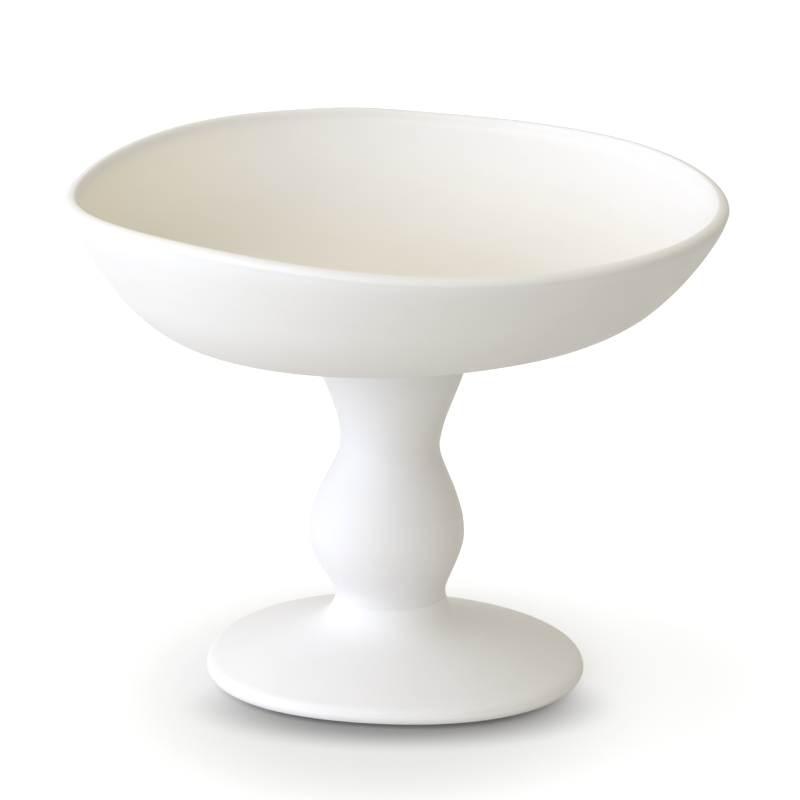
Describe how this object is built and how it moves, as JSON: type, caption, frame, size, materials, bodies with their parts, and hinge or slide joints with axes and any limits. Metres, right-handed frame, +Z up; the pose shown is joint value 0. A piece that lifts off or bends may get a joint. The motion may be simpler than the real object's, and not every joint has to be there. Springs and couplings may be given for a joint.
{
  "type": "footed compote bowl",
  "caption": "Wide shallow bowl with an uneven hand-formed rim, raised on a baluster stem and a low domed foot, in matt white stoneware.",
  "frame": {"origin": "on the table, under the middle of the rim's outline", "axes": "+Z up, -Y towards the side that the picture shows, +X to its right"},
  "size_m": [0.2466, 0.2528, 0.1931],
  "materials": {
    "bowl_glaze": "matt white glaze, faintly uneven from the hand",
    "stem_glaze": "matt white glaze, faintly uneven from the hand",
    "foot_glaze": "matt white glaze, with a bare ring of stoneware where it stands",
    "joint_cement": "fine white cement, wiped flush",
    "pad_felt": "pressed felt, pale grey"
  },
  "bodies": {
    "root": {"bowl": "bowl_glaze", "upper_joint_bed": "joint_cement", "stem": "stem_glaze", "lower_joint_bed": "joint_cement", "foot": "foot_glaze", "foot_pads": "pad_felt"}
  },
  "joints": []
}
